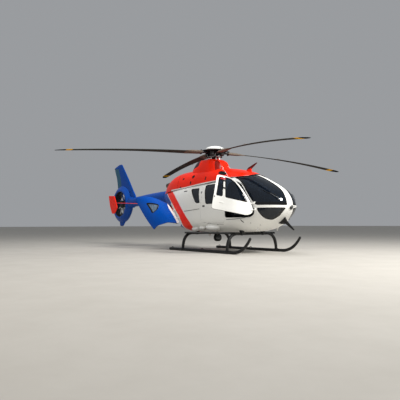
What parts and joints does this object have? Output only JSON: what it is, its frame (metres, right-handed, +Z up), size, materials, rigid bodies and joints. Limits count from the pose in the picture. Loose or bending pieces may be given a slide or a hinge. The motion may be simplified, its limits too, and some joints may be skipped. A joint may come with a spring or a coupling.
{
  "type": "helicopter",
  "caption": "Light rescue helicopter parked on skids, with a drooping main rotor, ducted tail rotor, hollow cabin, hinged front doors, sliding side doors and open rear clamshell doors.",
  "frame": {"origin": "on the ground, under the middle of the whole object's box", "axes": "+X towards the nose, +Y to port, +Z up"},
  "size_m": [12.1114, 9.9228, 3.495],
  "materials": {
    "white_paint": "gloss white paint on a composite panel",
    "red_paint": "gloss red paint on a composite panel",
    "blue_paint": "gloss blue paint on a composite panel",
    "tinted_glass": "clear tinted acrylic",
    "black_paint": "satin black paint",
    "blade_composite": "satin painted composite",
    "bare_steel": "heat stained steel",
    "seat_cloth": "woven cloth",
    "cabin_liner": "matt lining",
    "alloy_casting": "cast and machined metal"
  },
  "bodies": {
    "airframe": {"cabin_shell": "white_paint", "windscreen_right": "tinted_glass", "windscreen_left": "tinted_glass", "chin_window_right": "tinted_glass", "chin_window_left": "tinted_glass", "quarter_window_right": "tinted_glass", "quarter_window_left": "tinted_glass", "sliding_door_right": "white_paint", "sliding_door_left": "white_paint", "sliding_door_glass_right": "tinted_glass", "sliding_door_glass_left": "tinted_glass", "transmission_cowling": "red_paint", "engine_cowling": "red_paint", "engine_right": "alloy_casting", "engine_left": "alloy_casting", "exhaust_right": "bare_steel", "exhaust_left": "bare_steel", "main_gearbox": "alloy_casting", "tail_boom": "blue_paint", "fin_and_duct": "blue_paint", "tail_stator": "blue_paint", "stabiliser_right": "blue_paint", "stabiliser_left": "blue_paint", "end_plate_right": "red_paint", "end_plate_left": "red_paint", "front_cross_tube": "black_paint", "rear_cross_tube": "black_paint", "skid_right": "black_paint", "skid_left": "black_paint", "boarding_step_right": "black_paint", "boarding_step_left": "black_paint", "cabin_floor": "cabin_liner", "instrument_panel": "black_paint", "pilot_seat": "seat_cloth", "copilot_seat": "seat_cloth", "rear_seat_right": "seat_cloth", "rear_seat_left": "seat_cloth", "upper_wire_cutter": "black_paint", "lower_wire_cutter": "black_paint", "searchlight": "black_paint"},
    "main_rotor": {"rotor_hub": "black_paint", "hub_cap": "white_paint", "rotor_blade_1": "blade_composite", "rotor_blade_2": "blade_composite", "rotor_blade_3": "blade_composite", "rotor_blade_4": "blade_composite"},
    "tail_fan": {"tail_rotor": "black_paint"},
    "front_door_r": {"front_door_right": "white_paint", "front_door_glass_right": "tinted_glass", "front_door_rear_glass_right": "tinted_glass"},
    "front_door_l": {"front_door_left": "white_paint", "front_door_glass_left": "tinted_glass", "front_door_rear_glass_left": "tinted_glass"},
    "clamshell_r": {"clamshell_door_right": "blue_paint", "clamshell_glass_right": "tinted_glass"},
    "clamshell_l": {"clamshell_door_left": "blue_paint", "clamshell_glass_left": "tinted_glass"}
  },
  "joints": [
    {"name": "main_rotor_spin", "type": "hinge", "parent": "airframe", "child": "main_rotor", "pos_m": [1.0943, 0, 3.225], "axis": [0, 0, 1], "continuous": true},
    {"name": "tail_rotor_spin", "type": "hinge", "parent": "airframe", "child": "tail_fan", "pos_m": [-5.2557, 0, 1.73], "axis": [0, 1, 0], "continuous": true},
    {"name": "front_door_right_hinge", "type": "hinge", "parent": "airframe", "child": "front_door_r", "pos_m": [3.6343, -0.69, 1.5], "axis": [-0.2867, 0.0669, 0.9557], "range_deg": [-56, 10]},
    {"name": "front_door_left_hinge", "type": "hinge", "parent": "airframe", "child": "front_door_l", "pos_m": [3.6343, 0.69, 1.5], "axis": [0.2867, 0.0669, -0.9557], "range_deg": [0, 66]},
    {"name": "clamshell_right_hinge", "type": "hinge", "parent": "airframe", "child": "clamshell_r", "pos_m": [-0.0037, -0.765, 1.155], "axis": [-0.6919, 0.0432, 0.7207], "range_deg": [-100, 10]},
    {"name": "clamshell_left_hinge", "type": "hinge", "parent": "airframe", "child": "clamshell_l", "pos_m": [-0.0037, 0.765, 1.155], "axis": [0.6919, 0.0432, -0.7207], "range_deg": [-100, 10]}
  ]
}
